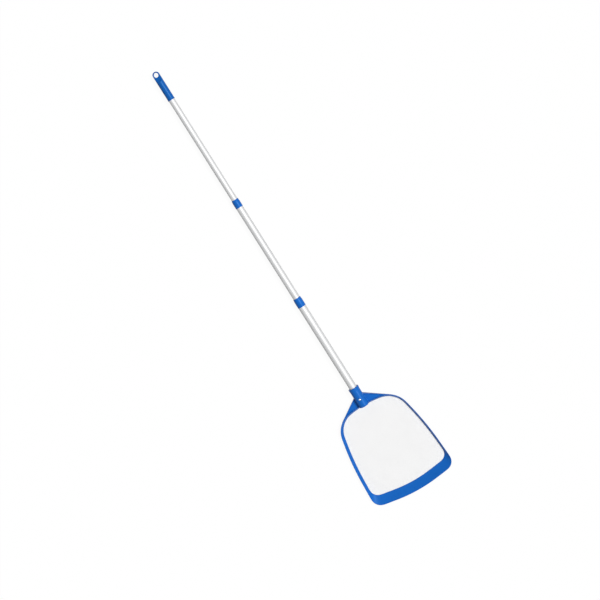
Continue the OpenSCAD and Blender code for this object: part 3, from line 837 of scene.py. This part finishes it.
class SKIMMER_OT_rim(bpy.types.Operator):
    """Makes the rim of the head with its scoop lip"""

    bl_idname = "skimmer.rim"
    bl_label = "Rim and lip"

    def execute(self, context):
        stations = []
        for near, far, foot in rim_rays():
            out = (far - near).normalized()
            section = rim_section((far - near).length, foot, sizes().rim_cover * abs(out.x))
            stations.append([(near + out * along).to_3d() + UP * height for along, height in section])
        bm = swept(stations)
        round_edges(bm, sizes().rim_edge, degrees=24)
        rim = new_piece("net_frame_finish", bm, "blue_plastic", HEAD, ["net_frame"], NO_SHARP_EDGE)
        smooth = rim.modifiers.new("smooth", "SUBSURF")
        smooth.levels = smooth.render_levels = 1
        return {"FINISHED"}


def gusset_solids(side):
    """One gusset: its recessed plate, and the wall along its straight side, which thins out at the rim."""
    size = sizes()
    points = [v.co for v in NODES["pole_socket"].data.vertices]
    barrel = outer_radius("lower_tube")
    foot = min(foot for near, far, foot in rim_rays())
    tip_x = max(p.x for p in points)
    start = Vector((barrel, max(p.y for p in points if abs(p.z - RIM_TOP) < SAME_PLACE and p.x > barrel)))
    end = Vector((tip_x, max(p.y for p in points if p.x > tip_x - SAME_PLACE)))
    end += (end - start).normalized() * size.gusset_bite
    back = Vector((0, -size.gusset_edge))
    inside = Vector((0, OPENING.y - start.y))
    plate = [start, end, Vector((end.x, OPENING.y)), start + inside]
    wall = [start, end, end + back, start + back]
    plate_top = RIM_TOP - size.gusset_recess
    plate_solid = prism([(side * p.x, p.y) for p in plate], plate_top - size.gusset_plate, plate_top)
    wall_solid = prism([(side * p.x, p.y) for p in wall], 0, RIM_TOP)
    for vert in wall_solid.verts:
        if abs(vert.co.x) > tip_x and vert.co.z < foot:
            vert.co.z = foot
    return plate_solid, wall_solid


def socket_body():
    """Barrel of the socket, with a closed round end over the rim and a flared mouth."""
    size = sizes()
    mouth = ends("pole_socket")[1]
    tube_top = POLE.z + outer_radius("lower_tube")
    solid_end = min(v.co.y for v in NODES["pole_socket"].data.vertices if v.co.z > tube_top)
    closed = solid_end - size.socket_reach
    barrel = reach_at("pole_socket", solid_end)[1]
    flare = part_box("pole_socket")[1].z - POLE.z
    round_centre = (barrel - size.socket_round, closed + size.socket_round)
    return turned(
        [(0, closed), *arc(round_centre, size.socket_round, -90, 0, 8), (barrel, mouth - size.socket_flare),
         (flare, mouth - size.socket_lip), (flare, mouth), (0, mouth)],
        POLE, ALONG)


def pole_bore():
    """Cutter of the bore that the lower tube fits, with an edge break at its mouth."""
    mouth = ends("pole_socket")[1]
    stop = ends("lower_tube")[0]
    bore = reach_at("pole_socket", mouth)[0]
    wide = bore + sizes().socket_break
    return turned(
        [(0, stop), (bore, stop), (bore, mouth - sizes().socket_break), (wide, mouth),
         (wide, mouth + OVERRUN), (0, mouth + OVERRUN)],
        POLE, ALONG)


def button_place():
    """Place of the snap buttons along the pole."""
    low, high = ends("front_button")
    return (low + high) / 2


def button_hole():
    """Cutter of both holes for the snap buttons, through the whole socket."""
    low, high = ends("lower_tube")
    # The tube has no other points between its ends than those of its own button holes
    between = [v.co.y for v in NODES["lower_tube"].data.vertices if low + OVERRUN < v.co.y < high - OVERRUN]
    radius = (max(between) - min(between)) / 2
    through = 2 * POLE.z + OVERRUN
    return turned([(0, -OVERRUN), (radius, -OVERRUN), (radius, through), (0, through)],
                  ALONG * button_place(), UP, steps=64)


def inside_rim():
    """Cutter of the room inside the rim, up to the middle of its wall."""
    half_wall = sizes().rim_wall / 2
    outline = [far - (far - near).normalized() * half_wall for near, far, foot in rim_rays()]
    return prism(outline, -OVERRUN, RIM_TOP - SAME_PLACE)


class SKIMMER_OT_socket(bpy.types.Operator):
    """Makes the pole socket with its gussets"""

    bl_idname = "skimmer.socket"
    bl_label = "Pole socket"

    def execute(self, context):
        gussets = [solid for side in (1, -1) for solid in gusset_solids(side)]
        socket = worked(socket_body(), joined=gussets, cut=[inside_rim(), pole_bore(), button_hole()],
                        melt=sizes().socket_melt)
        new_piece("pole_socket_finish", socket, "blue_plastic", HEAD, ["pole_socket"], NO_SHARP_EDGE)
        return {"FINISHED"}


def button_profile(name, way):
    """Foot, pin and dome of a snap button as (distance from its own axis, height over the pole's axis)."""
    middle = button_place()
    points = {(round(math.hypot(v.co.x, v.co.y - middle), PLACE_DIGITS),
               round(way * (v.co.z - POLE.z), PLACE_DIGITS)) for v in NODES[name].data.vertices}
    foot = max(reach for reach, height in points)
    foot_low, foot_top = sorted({height for reach, height in points if reach == foot})
    pin = max(reach for reach, height in points if height > foot_top)
    top = max(height for reach, height in points)
    rise = top - max(height for reach, height in points if reach == pin)
    ball = (pin ** 2 + rise ** 2) / (2 * rise)
    dome = arc((0, top - ball), ball, math.degrees(math.acos(pin / ball)), 90, 10)
    return [(0, foot_low), (foot, foot_low), (foot, foot_top), (pin, foot_top), *dome[:-1], (0, top)]


# The two buttons: side of the pole, body, and way that the button points
SNAPS = (("front", "front_snap", 1), ("rear", "rear_snap", -1))


class SKIMMER_OT_buttons(bpy.types.Operator):
    """Makes the two snap buttons"""

    bl_idname = "skimmer.buttons"
    bl_label = "Snap buttons"

    def execute(self, context):
        middle = Vector((0, button_place(), POLE.z))
        for side, body, way in SNAPS:
            name = side + "_button"
            bm = turned(button_profile(name, way), middle, UP * way, steps=48)
            round_edges(bm, sizes().button_edge, degrees=20, segments=2)
            new_piece(name + "_finish", bm, "spring_steel", body, [name])
        return {"FINISHED"}


# Stretches into which each spring arm is cut along its length
SPRING_STEPS = 24


class SKIMMER_OT_spring(bpy.types.Operator):
    """Makes the two arms of the button spring, each cut into stretches along its length; on the real pole
    the arms bend as the buttons are pressed
    """

    bl_idname = "skimmer.spring"
    bl_label = "Button spring"

    def execute(self, context):
        tip, bend = ends("button_spring")
        for side, body, way in SNAPS:
            bm = bmesh.new()
            bm.from_mesh(NODES["button_spring"].data)
            bmesh.ops.remove_doubles(bm, verts=bm.verts, dist=SAME_POINT)
            cut_by_plane(bm, POLE, UP * way, clear_inner=True)
            bmesh.ops.holes_fill(bm, edges=[edge for edge in bm.edges if edge.is_boundary])
            for step in range(1, SPRING_STEPS):
                cut_by_plane(bm, ALONG * (tip + (bend - tip) * step / SPRING_STEPS), ALONG)
            arm = new_piece(side + "_spring_arm", bm, "spring_steel", None, ["button_spring"])
            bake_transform(arm)
        return {"FINISHED"}


def net_outline():
    """The net's edge, as points in order round the middle of the opening."""
    return [max(points)[2] + OPENING for points in points_by_ray("net_mesh")]


def crossings(outline, axis, place):
    """Where a line at one place on an axis crosses the outline, as lowest and highest on the other."""
    hits = []
    for a, b in zip(outline, outline[1:] + outline[:1]):
        if (a[axis] > place) != (b[axis] > place):
            share = (place - a[axis]) / (b[axis] - a[axis])
            hits.append(a[1 - axis] + share * (b[1 - axis] - a[1 - axis]))
    return min(hits), max(hits)


class SKIMMER_OT_net(bpy.types.Operator):
    """Makes the net from two layers of crossing threads, cut to the clamped edge"""

    bl_idname = "skimmer.net"
    bl_label = "Net"

    def execute(self, context):
        outline = net_outline()
        pitch = sizes().thread_pitch
        thick = (NET_HIGH.z - NET_LOW.z) / 2
        bm = bmesh.new()
        for axis, height in ((0, NET_LOW.z + thick / 2), (1, NET_HIGH.z - thick / 2)):
            low, high = NET_LOW[axis], NET_HIGH[axis]
            count = int((high - low) / pitch)
            first = (low + high - (count - 1) * pitch) / 2
            for k in range(count):
                place = first + k * pitch
                start, end = crossings(outline, axis, place)
                middle = Vector((place, (start + end) / 2, height))
                extent = Vector((thick, end - start, thick, 1))
                if axis:
                    middle.xy = middle.yx
                    extent.xy = extent.yx
                thread = Matrix.Translation(middle) @ Matrix.Diagonal(extent)
                bmesh.ops.create_cube(bm, size=1, matrix=thread)
        net = new_piece("net_threads", bm, "net_fabric", HEAD, ["net_mesh"])
        return {"FINISHED"}


class SKIMMER_OT_retainer(bpy.types.Operator):
    """Finishes the ring that clamps the net"""

    bl_idname = "skimmer.retainer"
    bl_label = "Retainer"

    def execute(self, context):
        dress("blue_plastic", "net_retainer")
        return {"FINISHED"}


# ---------------------------------------------------------------- stage

# Height of the floor, just under the object, and half its width
FLOOR = -0.5 * MM
FLOOR_HALF = 12
# Width of the camera's sensor in millimetres
SENSOR_WIDTH = 36


def seen_directly(tree):
    """1 for what the camera, mirrors and glass see, and 0 for the light that falls on things."""
    path = add(tree, "ShaderNodeLightPath")
    camera_or_mirror = add(tree, "ShaderNodeMath", operation="MAXIMUM")
    any_of_them = add(tree, "ShaderNodeMath", operation="MAXIMUM")
    tree.links.new(path.outputs["Is Camera Ray"], camera_or_mirror.inputs[0])
    tree.links.new(path.outputs["Is Glossy Ray"], camera_or_mirror.inputs[1])
    tree.links.new(camera_or_mirror.outputs[0], any_of_them.inputs[0])
    tree.links.new(path.outputs["Is Transmission Ray"], any_of_them.inputs[1])
    return any_of_them.outputs[0]


def studio_world():
    """White where it is seen, and soft light elsewhere."""
    world = bpy.data.worlds.new("studio_world")
    world.use_nodes = True
    tree = world.node_tree
    tree.nodes.clear()
    out = add(tree, "ShaderNodeOutputWorld")
    mix = add(tree, "ShaderNodeMixShader")
    light = add(tree, "ShaderNodeBackground", {"Color": (1, 1, 1, 1), "Strength": studio().sky_strength})
    white = add(tree, "ShaderNodeBackground", {"Color": (1, 1, 1, 1), "Strength": 1})
    tree.links.new(seen_directly(tree), mix.inputs[0])
    tree.links.new(light.outputs[0], mix.inputs[1])
    tree.links.new(white.outputs[0], mix.inputs[2])
    tree.links.new(mix.outputs[0], out.inputs["Surface"])
    return world


def studio_floor():
    """Pale floor, partly plain white where it is seen, so that the object's shadow stays faint."""
    material = bpy.data.materials.new("studio_floor")
    material.use_nodes = True
    tree = material.node_tree
    tree.nodes.clear()
    out = add(tree, "ShaderNodeOutputMaterial")
    mix = add(tree, "ShaderNodeMixShader")
    matt = add(tree, "ShaderNodeBsdfDiffuse")
    white = add(tree, "ShaderNodeEmission", {"Color": (1, 1, 1, 1), "Strength": 1})
    seen = seen_directly(tree)
    tree.links.new(spread(tree, seen, studio().floor_bounce, 1), matt.inputs["Color"])
    tree.links.new(spread(tree, seen, 0, studio().floor_glow), mix.inputs[0])
    tree.links.new(matt.outputs[0], mix.inputs[1])
    tree.links.new(white.outputs[0], mix.inputs[2])
    tree.links.new(mix.outputs[0], out.inputs["Surface"])
    return material


def add_floor(scene):
    """A wide floor just under the object."""
    bm = bmesh.new()
    bmesh.ops.create_grid(bm, x_segments=1, y_segments=1, size=FLOOR_HALF,
                          matrix=Matrix.Translation(UP * FLOOR))
    mesh = bpy.data.meshes.new("studio_floor")
    bm.to_mesh(mesh)
    bm.free()
    floor = bpy.data.objects.new("studio_floor", mesh)
    mesh.materials.append(studio_floor())
    scene.collection.objects.link(floor)


def add_key_light(scene):
    """A soft light from one side of the pole and above."""
    light = bpy.data.lights.new("key_light", "SUN")
    light.energy = studio().key_strength
    light.angle = studio().key_angle
    key = bpy.data.objects.new("key_light", light)
    key.rotation_mode = "QUATERNION"
    key.rotation_quaternion = Vector(studio().key_from).to_track_quat("Z", "Y")
    scene.collection.objects.link(key)


def add_camera(scene):
    """A camera that looks at the target, turned so that the pole leans in the picture."""
    setting = studio()
    lens = bpy.data.cameras.new("camera")
    lens.lens = setting.lens
    lens.sensor_width = SENSOR_WIDTH
    camera = bpy.data.objects.new("camera", lens)
    around, above = setting.azimuth, setting.elevation
    back = Vector((math.sin(around) * math.cos(above), -math.cos(around) * math.cos(above),
                   math.sin(above)))
    pole_up = (ALONG - back * ALONG.dot(back)).normalized()
    up = Matrix.Rotation(-setting.lean, 3, back) @ pole_up
    turn = Matrix((up.cross(back), up, back)).transposed()
    place = Vector(setting.target) + back * setting.distance
    camera.matrix_world = Matrix.Translation(place) @ turn.to_4x4()
    scene.collection.objects.link(camera)
    scene.camera = camera


class SKIMMER_OT_stage(bpy.types.Operator):
    """Adds the floor, the light and the camera"""

    bl_idname = "skimmer.stage"
    bl_label = "Stage"

    def execute(self, context):
        scene = context.scene
        scene.view_settings.view_transform = "Standard"
        scene.world = studio_world()
        add_floor(scene)
        add_key_light(scene)
        add_camera(scene)
        return {"FINISHED"}


# ---------------------------------------------------------------- add-on

OPERATORS = (
    SKIMMER_OT_stage, SKIMMER_OT_grip, SKIMMER_OT_tubes, SKIMMER_OT_twist_locks, SKIMMER_OT_collars,
    SKIMMER_OT_socket, SKIMMER_OT_buttons, SKIMMER_OT_spring, SKIMMER_OT_rim, SKIMMER_OT_net,
    SKIMMER_OT_retainer,
)


class SKIMMER_PT_panel(bpy.types.Panel):
    """Lists the pieces of the skimmer"""

    bl_idname = "SKIMMER_PT_panel"
    bl_label = "Leaf skimmer net"
    bl_space_type = "VIEW_3D"
    bl_region_type = "UI"
    bl_category = "Skimmer"

    def draw(self, context):
        for operator in OPERATORS:
            self.layout.operator(operator.bl_idname)


CLASSES = (SkimmerSizes, SkimmerColours, StudioSettings, *OPERATORS, SKIMMER_PT_panel)


def register():
    for cls in CLASSES:
        bpy.utils.register_class(cls)
    bpy.types.Scene.skimmer_sizes = bpy.props.PointerProperty(type=SkimmerSizes)
    bpy.types.Scene.skimmer_colours = bpy.props.PointerProperty(type=SkimmerColours)
    bpy.types.Scene.skimmer_studio = bpy.props.PointerProperty(type=StudioSettings)


def unregister():
    del bpy.types.Scene.skimmer_studio
    del bpy.types.Scene.skimmer_colours
    del bpy.types.Scene.skimmer_sizes
    for cls in reversed(CLASSES):
        bpy.utils.unregister_class(cls)


def main():
    register()
    for operator in OPERATORS:
        group, name = operator.bl_idname.split(".")
        getattr(getattr(bpy.ops, group), name)()


if __name__ == "__main__":
    main()
